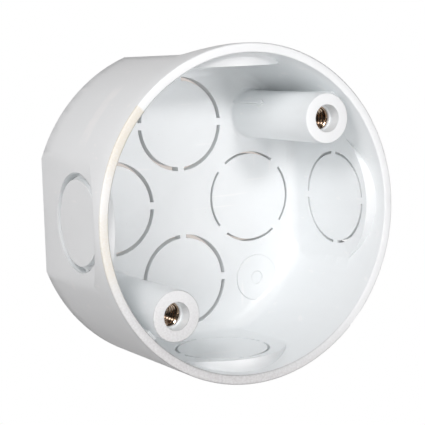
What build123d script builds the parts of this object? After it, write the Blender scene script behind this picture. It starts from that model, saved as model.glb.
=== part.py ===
"""Round conduit box in moulded white PVC, with two brass screw inserts.

The box stands on its back face with its opening upwards: +Z runs from the back face to the rim,
and the origin is the middle of the back face. Lengths are in millimetres, angles in degrees.
"""

import os
from math import cos, radians, sin, tan

from build123d import *

os.makedirs("parts", exist_ok=True)

# Round wall and base
depth = 31.4
rim_radius = 33.7
rim_wall = 1.95
outer_draft = 0.8
inner_draft = 1.1
base_thickness = 2.5
back_edge_chamfer = 0.8
floor_corner_radius = 3.0
rim_edge_chamfer = 0.3

# Side flats: a seat cut into the outside, with a sloping edge, and a pad left standing on the inside
seat_distance = 31.2
seat_draft = 0.7
seat_radius = 19.0
seat_land = 3.9
seat_edge_slope = 31.0
side_wall = 2.8
pad_draft = 1.4
pad_radius = 15.4
pad_land = 2.7
pad_corner_radius = 2.0

# Knockouts for 20 mm conduit in the base and in the sides, the side ones with a groove outside
slot_radius = 9.55
base_knockout_offset = 16.75
base_slot_width = 0.8
base_bridge = 1.5
tight_slot_width = 0.5
tight_bridge = 2.5
side_knockout_height = 17.5
side_slot_width = 0.55
side_bridge = 1.4
side_groove_width = 1.3
side_groove_depth = 1.2

# Screw posts, with a web to the wall and a thin rib that ends in a diamond
screw_centre_distance = 50.8
post_radius = 5.1
post_setback = 0.1
post_foot_chamfer = 0.8
post_edge_chamfer = 0.25
web_width = 2.2
web_drop = 3.3
rib_length = 10.7
rib_width = 0.6
rib_height = 0.35
rib_tip_length = 3.1
rib_tip_width = 1.5

# Screw hole down to a ledge, and the brass insert moulded in below it
hole_radius = 2.8
ledge_depth = 2.9
ledge_thickness = 0.5
ledge_hole_radius = 2.4
insert_length = 10.0
insert_radius = 3.4
insert_waist_radius = 2.7
insert_waist_length = 3.0
insert_sides = 6
thread_minor_radius = 1.95
thread_lead_in = 0.4
run_out_radius = 2.4
run_out_length = 6.0

# Blanked post positions on the base
blank_radius = 5.0
blank_height = 0.3
blank_dimple_radius = 1.4

# Trimmed moulding gate on the rim's outer edge
gate_width = 3.6
gate_depth = 0.25
gate_height = 0.8

# Angles about the box's axis
side_angles = (0, 90, 180, 270)
post_angles = {"upper": 45, "lower": 225}
blank_angles = (135, 315)
tight_knockout_angle = 0
tight_bridge_turn = 45
rib_turn = 102
gate_angle = -44.5

# Sizes that follow from those above
back_radius = rim_radius - depth * tan(radians(outer_draft))
mouth_radius = rim_radius - rim_wall
cavity_radius = mouth_radius - depth * tan(radians(inner_draft))
seat_crown = depth - seat_land
pad_distance = seat_distance - side_wall
pad_crown = depth - pad_land
post_circle = screw_centre_distance / 2
post_top = depth - post_setback
post_height = post_top - base_thickness
ledge_top = post_top - ledge_depth
insert_top = ledge_top - ledge_thickness
insert_bottom = insert_top - insert_length
hexagon_length = (insert_length - insert_waist_length) / 2
foot_radius = post_radius + post_foot_chamfer
post_root = base_thickness / 2
web_end = (cavity_radius + back_radius) / 2
groove_radius = slot_radius + side_slot_width / 2
groove_floor = seat_distance - side_groove_depth
overshoot = 2.0
slot_start = pad_distance - overshoot


def around(angle, distance, height=0):
    """The point at this angle and distance from the box's axis."""
    return (distance * cos(radians(angle)), distance * sin(radians(angle)), height)


def leaning(distance, draft, height):
    """How far out a wall stands at this height, when it leans outwards by the draft."""
    return distance + height * tan(radians(draft))


def rounded_foot(distance, draft, radius, height):
    """Points on the round, made of two flats, between a level face and a leaning wall."""
    half_way = radius * (1 - cos(radians(45)))
    return (
        (leaning(distance, draft, height) - radius, height),
        (leaning(distance, draft, height) - half_way, height + half_way),
        (leaning(distance, draft, height + radius), height + radius),
    )


def slot_ring(width, bridge, turn=0):
    """Four arc slots round one knockout, parted by the bridges that hold its disc."""
    Circle(slot_radius + width / 2)
    Circle(slot_radius - width / 2, mode=Mode.SUBTRACT)
    span = 2 * (slot_radius + width)
    Rectangle(span, bridge, rotation=turn, mode=Mode.SUBTRACT)
    Rectangle(bridge, span, rotation=turn, mode=Mode.SUBTRACT)


def round_cut(centre, radius, bottom, length):
    """An upright round hole of this length in the part that is being built."""
    with BuildSketch(Plane.XY.offset(bottom)) as hole:
        with Locations(centre):
            Circle(radius)
    extrude(hole.sketch, amount=length, mode=Mode.SUBTRACT)


def insert_outside(centre, mode):
    """The insert's outside: two six-sided ends with a round waist between them."""
    for bottom in (insert_bottom, insert_top - hexagon_length):
        with BuildSketch(Plane.XY.offset(bottom)) as hexagon:
            with Locations(centre):
                RegularPolygon(insert_radius, insert_sides)
        extrude(hexagon.sketch, amount=hexagon_length, mode=mode)
    with BuildSketch(Plane.XY.offset(insert_bottom)) as waist:
        with Locations(centre):
            Circle(insert_waist_radius)
    extrude(waist.sketch, amount=insert_length, mode=mode)


# What a seat cuts away: all that lies outside the flat and within a circle that widens outwards
with BuildPart() as seat_cut:
    seat_clear = rim_radius + overshoot
    with BuildSketch(Plane.XZ):
        Polygon(
            (seat_distance - back_edge_chamfer, -overshoot),
            (seat_distance - back_edge_chamfer, 0),
            (leaning(seat_distance, seat_draft, back_edge_chamfer), back_edge_chamfer),
            (leaning(seat_distance, seat_draft, depth), depth),
            (seat_clear, depth),
            (seat_clear, -overshoot),
            align=None,
        )
    extrude(amount=seat_radius, both=True)
    seat_middle = seat_crown - seat_radius
    seat_start = leaning(seat_distance, seat_draft, seat_crown)
    edge_growth = (seat_clear - seat_start) * tan(radians(seat_edge_slope))
    with BuildSketch(Plane.XZ):
        Polygon(
            (seat_distance - back_edge_chamfer - overshoot, seat_middle),
            (seat_distance - back_edge_chamfer - overshoot, seat_crown),
            (seat_start, seat_crown),
            (seat_clear, seat_crown + edge_growth),
            (seat_clear, seat_middle),
            align=None,
        )
    revolve(axis=Axis((0, 0, seat_middle), (1, 0, 0)), mode=Mode.INTERSECT)

# What a pad fills inside the round wall, up to an arch below the rim
with BuildPart() as pad:
    pad_start = pad_distance - pad_corner_radius
    with BuildSketch(Plane.XZ):
        Polygon(
            (pad_start, 0),
            *rounded_foot(pad_distance, pad_draft, pad_corner_radius, base_thickness),
            (leaning(pad_distance, pad_draft, depth), depth),
            (rim_radius, depth),
            (rim_radius, 0),
            align=None,
        )
    extrude(amount=pad_radius, both=True)
    pad_middle = pad_crown - pad_radius
    with BuildSketch(Plane.YZ.offset(pad_start - overshoot)):
        with Locations((0, pad_middle)):
            Circle(pad_radius)
        with Locations((0, pad_middle / 2)):
            Rectangle(2 * pad_radius, pad_middle)
    extrude(amount=rim_radius, mode=Mode.INTERSECT)

# Outside of the moulding: a drafted round block with a seat on each side
with BuildPart() as outside:
    edge_height = depth - rim_edge_chamfer
    with BuildSketch(Plane.XZ):
        Polygon(
            (0, 0),
            (back_radius - back_edge_chamfer, 0),
            (leaning(back_radius, outer_draft, back_edge_chamfer), back_edge_chamfer),
            (leaning(back_radius, outer_draft, edge_height), edge_height),
            (rim_radius - rim_edge_chamfer, depth),
            (0, depth),
            align=None,
        )
    revolve(axis=Axis.Z)
    with PolarLocations(0, len(side_angles)):
        add(seat_cut.part, mode=Mode.SUBTRACT)

# Space inside the moulding: a drafted round block that stops at a pad on each side
with BuildPart() as inside:
    mouth_edge = mouth_radius + rim_edge_chamfer
    with BuildSketch(Plane.XZ):
        Polygon(
            (0, base_thickness),
            *rounded_foot(cavity_radius, inner_draft, floor_corner_radius, base_thickness),
            (leaning(cavity_radius, inner_draft, edge_height), edge_height),
            (mouth_edge, depth),
            (mouth_edge, depth + overshoot),
            (0, depth + overshoot),
            align=None,
        )
    revolve(axis=Axis.Z)
    with PolarLocations(0, len(side_angles)):
        add(pad.part, mode=Mode.SUBTRACT)

# Moulded body with its posts, knockouts and insert pockets
with BuildPart() as box_body:
    add(outside.part)
    add(inside.part, mode=Mode.SUBTRACT)

    for angle in post_angles.values():
        centre = around(angle, post_circle)
        with BuildSketch(Plane(centre, x_dir=around(angle, 1), z_dir=around(angle - 90, 1))):
            Polygon(
                (0, post_root),
                (foot_radius, post_root),
                (foot_radius, base_thickness),
                (post_radius, base_thickness + post_foot_chamfer),
                (post_radius, post_top - post_edge_chamfer),
                (post_radius - post_edge_chamfer, post_top),
                (0, post_top),
                align=None,
            )
        revolve(axis=Axis(centre, (0, 0, 1)))

        with BuildSketch(Plane.XY.offset(base_thickness)):
            with Locations(around(angle, (post_circle + web_end) / 2)):
                Rectangle(web_end - post_circle, web_width, rotation=angle)
        extrude(amount=post_height - web_drop)

        rib_side = angle + rib_turn
        rib_foot = around(angle, post_circle, base_thickness)
        with BuildSketch(Plane(rib_foot, x_dir=around(rib_side + 90, 1), z_dir=around(rib_side, 1))):
            with Locations((0, rib_length / 2)):
                Rectangle(rib_width, rib_length)
            with Locations((0, rib_length)):
                Polygon(
                    (-rib_tip_width / 2, 0),
                    (0, -rib_tip_length / 2),
                    (rib_tip_width / 2, 0),
                    (0, rib_tip_length / 2),
                    align=None,
                )
        extrude(amount=post_radius + rib_height)

        insert_outside(centre, Mode.SUBTRACT)
        round_cut(centre, run_out_radius, insert_bottom - run_out_length, run_out_length)
        round_cut(centre, ledge_hole_radius, insert_top, ledge_thickness)
        round_cut(centre, hole_radius, ledge_top, ledge_depth)

    for angle in blank_angles:
        with BuildSketch(Plane.XY.offset(base_thickness)):
            with Locations(around(angle, post_circle)):
                Circle(blank_radius)
                Circle(blank_dimple_radius, mode=Mode.SUBTRACT)
        extrude(amount=blank_height)

    for angle in side_angles:
        with BuildSketch(Plane.XY):
            with Locations(around(angle, base_knockout_offset)):
                if angle == tight_knockout_angle:
                    slot_ring(tight_slot_width, tight_bridge, tight_bridge_turn)
                else:
                    slot_ring(base_slot_width, base_bridge)
        extrude(amount=base_thickness + pad_corner_radius, mode=Mode.SUBTRACT)

        groove_middle = around(angle, groove_floor, side_knockout_height)
        with BuildSketch(Plane(groove_middle, z_dir=around(angle, 1))):
            Circle(groove_radius)
            Circle(groove_radius - side_groove_width, mode=Mode.SUBTRACT)
        extrude(amount=rim_radius, mode=Mode.SUBTRACT)
        slot_middle = around(angle, slot_start, side_knockout_height)
        with BuildSketch(Plane(slot_middle, x_dir=around(angle + 90, 1), z_dir=around(angle, 1))):
            slot_ring(side_slot_width, side_bridge)
        extrude(amount=groove_floor - slot_start, mode=Mode.SUBTRACT)

    with BuildSketch(Plane.XY.offset(depth - gate_height)):
        with Locations(around(gate_angle, rim_radius)):
            Rectangle(2 * gate_depth, gate_width, rotation=gate_angle)
    extrude(amount=gate_height, mode=Mode.SUBTRACT)

box_body.part.label = "box_body"
export_step(box_body.part, "parts/box_body.step")

# Threaded brass inserts, kept from turning by their six-sided ends
for place, angle in post_angles.items():
    centre = around(angle, post_circle)
    with BuildPart() as insert:
        insert_outside(centre, Mode.ADD)
        round_cut(centre, thread_minor_radius, insert_bottom, insert_length)
        thread_mouth = insert.faces().sort_by(Axis.Z)[-1].inner_wires()[0]
        chamfer(thread_mouth.edges(), thread_lead_in)
    insert.part.label = f"{place}_brass_insert"
    export_step(insert.part, f"parts/{place}_brass_insert.step")
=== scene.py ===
import math

import bmesh
import bpy
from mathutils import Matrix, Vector


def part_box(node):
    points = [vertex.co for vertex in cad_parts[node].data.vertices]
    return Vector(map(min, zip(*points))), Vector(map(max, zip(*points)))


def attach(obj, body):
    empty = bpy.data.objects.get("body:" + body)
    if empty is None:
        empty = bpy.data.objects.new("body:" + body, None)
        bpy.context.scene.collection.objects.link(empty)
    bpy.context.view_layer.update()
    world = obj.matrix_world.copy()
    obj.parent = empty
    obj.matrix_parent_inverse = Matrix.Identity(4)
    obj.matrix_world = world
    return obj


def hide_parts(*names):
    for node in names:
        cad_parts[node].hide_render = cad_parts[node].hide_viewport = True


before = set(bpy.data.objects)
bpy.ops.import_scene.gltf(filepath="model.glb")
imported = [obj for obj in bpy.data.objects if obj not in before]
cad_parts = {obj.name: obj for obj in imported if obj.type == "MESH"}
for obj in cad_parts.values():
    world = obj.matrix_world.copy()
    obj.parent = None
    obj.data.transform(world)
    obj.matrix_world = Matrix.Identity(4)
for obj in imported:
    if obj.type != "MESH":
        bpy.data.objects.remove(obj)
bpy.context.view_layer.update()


# Moulded body: the wall, base, screw posts and knockouts are one injection moulding in white PVC.
# It comes out of a lightly polished steel mould with a soft gloss, faint flow marks and a fine ripple.
# The rim and post heads are rubbed dull and carry painted shade, darker towards the lower left; age has
# turned some rim cream.
class Shade:
    """A socket that takes part in Python sums; each operation adds one node to the material."""

    def __init__(self, socket):
        self.socket = socket
        self.tree = socket.id_data

    def node(self, kind, settings, sockets, output=0):
        """A new node of this kind: first its settings, then the values or links of its sockets."""
        made = self.tree.nodes.new(kind)
        for name, value in settings.items():
            setattr(made, name, value)
        for name, value in sockets.items():
            if isinstance(value, Shade):
                self.tree.links.new(value.socket, made.inputs[name])
            else:
                made.inputs[name].default_value = value
        return Shade(made.outputs[output])

    def maths(self, operation, first, second):
        return self.node("ShaderNodeMath", {"operation": operation}, {0: first, 1: second})

    def __add__(self, other):
        return self.maths("ADD", self, other)

    def __sub__(self, other):
        return self.maths("SUBTRACT", self, other)

    def __rsub__(self, other):
        return self.maths("SUBTRACT", other, self)

    def __mul__(self, other):
        return self.maths("MULTIPLY", self, other)

    def __pow__(self, other):
        return self.maths("POWER", self, other)

    def __abs__(self):
        return self.maths("ABSOLUTE", self, 0.0)

    __radd__ = __add__
    __rmul__ = __mul__

    def rising(self, start, end):
        """0 below start and 1 above end, with a soft change between them."""
        ends = {"Value": self, "From Min": start, "From Max": end}
        return self.node("ShaderNodeMapRange", {"interpolation_type": "SMOOTHSTEP"}, ends)

    def within(self, start, end, soft):
        """1 between start and end and 0 outside, with soft edges of this width."""
        return self.rising(start - soft, start) * (1.0 - self.rising(end, end + soft))

    def mix(self, low, high):
        """The colour low where this is 0 and high where it is 1."""
        return self.node("ShaderNodeMix", {"data_type": "RGBA"}, {0: self, 6: low, 7: high}, 2)

    def noise(self, scale, detail=2.0, distortion=0.0):
        """A noise pattern read at this place."""
        values = {"Vector": self, "Scale": scale, "Detail": detail, "Distortion": distortion}
        return self.node("ShaderNodeTexNoise", {}, values)

    def stretched(self, scale, turn=(0.0, 0.0, 0.0)):
        """This place, turned and scaled, so that a pattern read there is drawn out."""
        return self.node("ShaderNodeMapping", {}, {"Vector": self, "Rotation": turn, "Scale": scale})

    def part(self, axis):
        """One coordinate of this place."""
        return self.node("ShaderNodeSeparateXYZ", {}, {0: self}, "XYZ".index(axis))

    def bump(self, height, normal=None):
        """The surface normal, or the one given, tilted by this pattern as a relief of this height."""
        sockets = {"Height": self, "Distance": height}
        if normal:
            sockets["Normal"] = normal
        return self.node("ShaderNodeBump", {}, sockets)

    def feed(self, shader, name):
        self.tree.links.new(self.socket, shader.inputs[name])


def new_finish(name):
    """A material, its shader, and the place on the object that its patterns are read at."""
    material = bpy.data.materials.new(name)
    material.use_nodes = True
    nodes = material.node_tree.nodes
    place = nodes.new("ShaderNodeTexCoord")
    return material, nodes["Principled BSDF"], Shade(place.outputs["Object"])


weld_distance = 0.000001


def merged_copy(node_name):
    """A bmesh of this solid, with its loose triangles joined to one skin."""
    mesh = bmesh.new()
    mesh.from_mesh(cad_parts[node_name].data)
    bmesh.ops.remove_doubles(mesh, verts=mesh.verts, dist=weld_distance)
    return mesh


def smooth_but_for_edges(mesh, edge_angle):
    """Smooth shading, with the edges that turn by more than the angle kept sharp."""
    for face in mesh.faces:
        face.smooth = True
    for edge in mesh.edges:
        edge.smooth = edge.is_manifold and edge.calc_face_angle() < edge_angle


def finished(name, mesh, material):
    """An object at the origin from this bmesh, in this material."""
    data = bpy.data.meshes.new(name)
    mesh.to_mesh(data)
    mesh.free()
    data.materials.append(material)
    piece = bpy.data.objects.new(name, data)
    bpy.context.scene.collection.objects.link(piece)
    return piece


body_edge_angle = math.radians(50)
edge_wear_radius = 0.0002
ripple_height = 0.000006
scratch_depth = 0.000004
head_height = 0.0311
head_blend = 0.00015
rim_inner_radius = 0.0313
rim_blend = 0.0003
outer_wall_radius = 0.033
wall_blend = 0.0005
# Painted shade: the rim and post heads darken towards this bearing, where less light falls on them.
shade_bearing = math.radians(250)
shade_start = 0.004
shade_full = 0.042

shaded_white = (0.829, 0.862, 0.874, 1.0)
clear_white = (0.853, 0.886, 0.898, 1.0)
speck_grey = (0.80, 0.82, 0.83, 1.0)
rubbed_white = (0.95, 0.95, 0.95, 1.0)
painted_shade_grey = (0.56, 0.565, 0.57, 1.0)
aged_cream = (0.753, 0.73, 0.652, 1.0)

pvc, pvc_shader, place = new_finish("moulded_white_pvc")
x, y, z = (place.part(axis) for axis in "XYZ")
from_axis = (x * x + y * y) ** 0.5
turn_from_left = place.maths("ARCTAN2", y, 0.0 - x)

flow_marks = place.stretched((1.0, 1.0, 0.35)).noise(75.0, 3.0, 0.8)
specks = place.noise(2600.0, 1.0)
ripple = place.noise(900.0, 2.0)
grain = place.noise(2300.0, 2.0)
long_scratches = place.stretched((55.0, 700.0, 260.0), (0.3, 0.5, 0.9)).noise(1.0, 1.0).rising(0.70, 0.76)
cross_scratches = place.stretched((620.0, 50.0, 240.0), (0.7, 0.2, 0.4)).noise(1.0, 1.0).rising(0.71, 0.77)
scratches = place.maths("MAXIMUM", long_scratches, cross_scratches)

top_faces = z.rising(head_height - head_blend, head_height)
rim_face = top_faces * from_axis.rising(rim_inner_radius - rim_blend, rim_inner_radius)
outer_wall = from_axis.rising(outer_wall_radius - wall_blend, outer_wall_radius)

# Painted shade: the top faces are painted greyer towards the lower left and broken up by the grain, in
# place of the weaker light there.
towards_lower_left = math.cos(shade_bearing) * x + math.sin(shade_bearing) * y
painted_shade = top_faces * towards_lower_left.rising(shade_start, shade_full) * (0.45 + 1.1 * grain)
aged_arc = turn_from_left.rising(-0.55, -0.2) * (1.0 - turn_from_left.rising(0.735, 0.755))
aged_patches = 0.65 * turn_from_left.rising(0.2, 0.5) + 0.35 * turn_from_left.within(-0.25, 0.02, 0.12)
aged = rim_face * aged_arc * (0.35 + aged_patches) * (0.3 + 1.4 * grain)
scuff_height = z.within(0.0165, 0.0185, 0.0012)
scuff_arc = turn_from_left.within(0.52, 0.82, 0.1)
scuff = outer_wall * scuff_height * scuff_arc * place.noise(420.0, 2.0, 1.0)

white = flow_marks.rising(0.3, 0.7).mix(shaded_white, clear_white)
speckled = specks.rising(0.72, 0.8).mix(white, speck_grey)
rubbed = place.maths("MAXIMUM", scratches * 0.35, scuff * 0.7).mix(speckled, rubbed_white)
with_painted_shade = painted_shade.mix(rubbed, painted_shade_grey)
aged.mix(with_painted_shade, aged_cream).feed(pvc_shader, "Base Color")
(0.27 + 0.09 * flow_marks + 0.16 * scratches + 0.2 * top_faces).feed(pvc_shader, "Roughness")
worn_edges = place.node("ShaderNodeBevel", {"samples": 6}, {"Radius": edge_wear_radius})
ripple.bump(ripple_height, scratches.bump(scratch_depth, worn_edges)).feed(pvc_shader, "Normal")
pvc_shader.inputs["IOR"].default_value = 1.53

body_mesh = merged_copy("box_body")
smooth_but_for_edges(body_mesh, body_edge_angle)
body = finished("moulded_body", body_mesh, pvc)
weighted = body.modifiers.new("even_shading", "WEIGHTED_NORMAL")
weighted.keep_sharp = True
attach(body, "root")
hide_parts("box_body")


# Brass inserts: turned from six-sided bar, drilled and tapped, and set in the mould before the plastic
# is shot. Only the ring at the top and the thread show, down the hole in each post. The thread is bare
# and bright on its flanks, brown with oil and dust in its roots, and has 24 turns to the inch.
screw_centres = 0.0508
thread_pitch = 0.0254 / 24
thread_crest_radius = 0.00195
thread_root_radius = 0.00241
lead_in_depth = 0.00015
steps_per_turn = 40
spare_turns = 2
insert_edge_angle = math.radians(35)
near = 0.00001
level_enough = 0.999
cut_tolerance = 0.0000001
oily_depth = 0.00012
tool_line_height = 0.000003

dull_brass = (0.52, 0.37, 0.26, 1.0)
bright_brass = (0.76, 0.60, 0.46, 1.0)
oily_brown = (0.14, 0.09, 0.06, 1.0)

brass, brass_shader, place = new_finish("tapped_brass")
post_offset = screw_centres / 2 / math.sqrt(2)
from_post_x = abs(place.part("X")) - post_offset
from_post_y = abs(place.part("Y")) - post_offset
from_screw_axis = (from_post_x * from_post_x + from_post_y * from_post_y) ** 0.5
tool_lines = place.stretched((200.0, 200.0, 9000.0)).noise(1.0, 2.0)
tarnish = place.noise(700.0, 3.0)
in_root = from_screw_axis.rising(thread_root_radius - oily_depth, thread_root_radius)
bare = tarnish.rising(0.3, 0.7).mix(dull_brass, bright_brass)
in_root.mix(bare, oily_brown).feed(brass_shader, "Base Color")
(0.10 + 0.10 * tarnish + 0.2 * in_root).feed(brass_shader, "Roughness")
tool_lines.bump(tool_line_height).feed(brass_shader, "Normal")
brass_shader.inputs["Metallic"].default_value = 1.0


def tapped(mesh, centre, bottom, top):
    """Gives the insert in this bmesh a cut thread in place of its plain bore."""

    def reach(vertex):
        return math.hypot(vertex.co.x - centre.x, vertex.co.y - centre.y)

    def at_end(height):
        return height < bottom + near or height > top - near

    def lies_at(height, edge):
        return all(abs(vertex.co.z - height) < weld_distance for vertex in edge.verts)

    # The plain bore and the flat ends come out.
    flat = [face for face in mesh.faces if abs(face.normal.z) > level_enough]
    ends = [face for face in flat if at_end(face.calc_center_median().z)]
    bore = [face for face in mesh.faces if max(map(reach, face.verts)) < thread_root_radius + near]
    bmesh.ops.delete(mesh, geom=list(set(ends + bore)), context="FACES")

    # The outline of one tooth, by its share of the pitch, is swept up round the screw's axis.
    tooth = (
        (0.0, thread_crest_radius),
        (0.37, thread_crest_radius),
        (0.62, thread_root_radius),
        (0.75, thread_root_radius),
        (1.0, thread_crest_radius),
    )
    start = bottom - thread_pitch
    points = [mesh.verts.new((centre.x + r, centre.y, start + share * thread_pitch)) for share, r in tooth]
    edges = [mesh.edges.new(pair) for pair in zip(points, points[1:])]
    turns = math.ceil((top - bottom) / thread_pitch) + spare_turns
    bmesh.ops.spin(
        mesh,
        geom=points + edges,
        cent=centre,
        axis=(0, 0, 1),
        dvec=(0, 0, thread_pitch / steps_per_turn),
        angle=turns * math.tau,
        steps=turns * steps_per_turn,
    )
    bmesh.ops.remove_doubles(mesh, verts=mesh.verts, dist=weld_distance)

    # The thread is cut off at both ends of the insert, and its first crests there are chamfered.
    for height, outwards in ((top, 1), (bottom, -1)):
        thread = [vertex for vertex in mesh.verts if reach(vertex) < thread_root_radius + near]
        edges = {edge for vertex in thread for edge in vertex.link_edges}
        faces = {face for vertex in thread for face in vertex.link_faces}
        bmesh.ops.bisect_plane(
            mesh,
            geom=thread + list(edges) + list(faces),
            dist=cut_tolerance,
            plane_co=(0, 0, height),
            plane_no=(0, 0, outwards),
            clear_outer=True,
        )
    for vertex in mesh.verts:
        lead_in = thread_crest_radius + lead_in_depth - min(vertex.co.z - bottom, top - vertex.co.z)
        if reach(vertex) < min(lead_in, thread_root_radius):
            growth = lead_in / reach(vertex)
            vertex.co.x = centre.x + (vertex.co.x - centre.x) * growth
            vertex.co.y = centre.y + (vertex.co.y - centre.y) * growth

    # A flat ring closes each end again.
    for height in (bottom, top):
        open_edges = [edge for edge in mesh.edges if edge.is_boundary and lies_at(height, edge)]
        bmesh.ops.bridge_loops(mesh, edges=open_edges)
    bmesh.ops.recalc_face_normals(mesh, faces=mesh.faces)


for insert_name in ("upper_brass_insert", "lower_brass_insert"):
    corner, far_corner = (Vector(point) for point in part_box(insert_name))
    insert_mesh = merged_copy(insert_name)
    tapped(insert_mesh, (corner + far_corner) / 2, corner.z, far_corner.z)
    smooth_but_for_edges(insert_mesh, insert_edge_angle)
    insert = finished("tapped_" + insert_name, insert_mesh, brass)
    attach(insert, "root")
    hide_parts(insert_name)


# Floor: a large sheet of matt white card, so evenly lit that it takes no shadow in the picture.
# Under the box, where the knockout slots let the eye through to it, a painted shadow shows as a glowing
# warm grey, which also lights the slots from below at half the strength it shows.
floor_half = 1.5
floor_drop = 0.00005
covered_radius = 0.0285
covered_blend = 0.001
light_from_below = 0.5

card_grey = (0.33, 0.33, 0.33, 1.0)
fibre_grey = (0.37, 0.37, 0.37, 1.0)
lit_white = (1.0, 1.0, 1.0, 1.0)
# Painted shadow: the warm grey that the floor glows with under the box.
painted_shadow_grey = (0.63, 0.58, 0.55, 1.0)

floor_finish, floor_shader, place = new_finish("white_card")
place.noise(900.0, 3.0).mix(card_grey, fibre_grey).feed(floor_shader, "Base Color")
floor_shader.inputs["Roughness"].default_value = 0.9
from_middle = (place.part("X") ** 2.0 + place.part("Y") ** 2.0) ** 0.5
# Painted shadow under the box: it glows for the eye, and at half strength for the slots above it.
painted_shadow_under_box = 1.0 - from_middle.rising(covered_radius - covered_blend, covered_radius)
shown = place.node("ShaderNodeEmission", {}, {"Color": painted_shadow_under_box.mix(lit_white, painted_shadow_grey)})
seen = place.node("ShaderNodeLightPath", {}, {})
share_shown = place.maths("MAXIMUM", seen, painted_shadow_under_box * light_from_below)
card = Shade(floor_shader.outputs[0])
floor_mix = place.node("ShaderNodeMixShader", {}, {0: share_shown, 1: card, 2: shown})
floor_mix.feed(floor_finish.node_tree.nodes["Material Output"], "Surface")

floor_mesh = bmesh.new()
bmesh.ops.create_grid(floor_mesh, size=floor_half)
bmesh.ops.translate(floor_mesh, verts=floor_mesh.verts, vec=(0, 0, -floor_drop))
finished("floor", floor_mesh, floor_finish)


# Light: a round lamp above the camera, a smaller one close to the upper left of the box, soft boxes at the
# left and beside the camera, boards that fill the shadows from the lower left and lower right, and a dim
# white room. A small lamp beside the camera glints on the threads, and two matt ones leave no gloss.
lamp_colour = (1.0, 0.965, 0.962)
box_middle = Vector((0, 0, 0.015))
close_lamp_place = Vector((-0.15, 0.125, 0.15))
close_lamp_width = 0.08
room_strength = 0.02


def placed_lamp(name, kind, direction, strength):
    """A lamp of this kind that shines on the box from this direction."""
    lamp = bpy.data.objects.new(name, bpy.data.lights.new(name, kind))
    lamp.data.energy = strength
    lamp.data.color = lamp_colour
    lamp.rotation_euler = Vector(direction).to_track_quat("Z", "Y").to_euler()
    bpy.context.scene.collection.objects.link(lamp)
    return lamp


def far_lamp(name, direction, strength, degrees_wide, leaves_gloss=True):
    """A distant lamp or board that looks this wide from the box."""
    lamp = placed_lamp(name, "SUN", direction, strength)
    lamp.data.angle = math.radians(degrees_wide)
    lamp.visible_glossy = leaves_gloss


far_lamp("key_lamp", (-0.035, 0.35, 1.0), 0.92, 10)
far_lamp("side_box", (-0.85, 0.1, 0.5), 0.63, 50)
far_lamp("right_board", (0.35, -0.55, 0.75), 1.16, 40)
far_lamp("camera_lamp", (-0.31, 0.42, 0.85), 0.07, 9)
far_lamp("left_board", (-0.5, -0.5, 0.74), 0.45, 40, leaves_gloss=False)
far_lamp("front_box", (-0.6, 0.1, 0.8), 0.46, 40, leaves_gloss=False)
close_lamp = placed_lamp("close_lamp", "AREA", close_lamp_place - box_middle, 0.21)
close_lamp.data.shape = "DISK"
close_lamp.data.size = close_lamp_width
close_lamp.location = close_lamp_place
close_lamp.visible_camera = False

room = bpy.data.worlds.new("white_room")
room.use_nodes = True
background = room.node_tree.nodes["Background"]
background.inputs["Color"].default_value = (1.0, 1.0, 1.0, 1.0)
background.inputs["Strength"].default_value = room_strength
bpy.context.scene.world = room
bpy.context.scene.view_settings.view_transform = "Standard"


# Camera: a long lens in front of the opening and well to its left, so that the box faces right and shows
# its left outer wall, as in the photograph. Its place, lens and turns were worked out from the rim, the
# posts and the slots.
lens_length = 128.64
sensor_width = 36.0
camera_place = (-0.15551, 0.03701, 0.28274)
camera_turns = (-5.929, -30.375, -2.104)

camera = bpy.data.objects.new("camera", bpy.data.cameras.new("camera"))
camera.data.sensor_width = sensor_width
camera.data.lens = lens_length
camera.location = camera_place
camera.rotation_euler = [math.radians(turn) for turn in camera_turns]
bpy.context.scene.collection.objects.link(camera)
bpy.context.scene.camera = camera
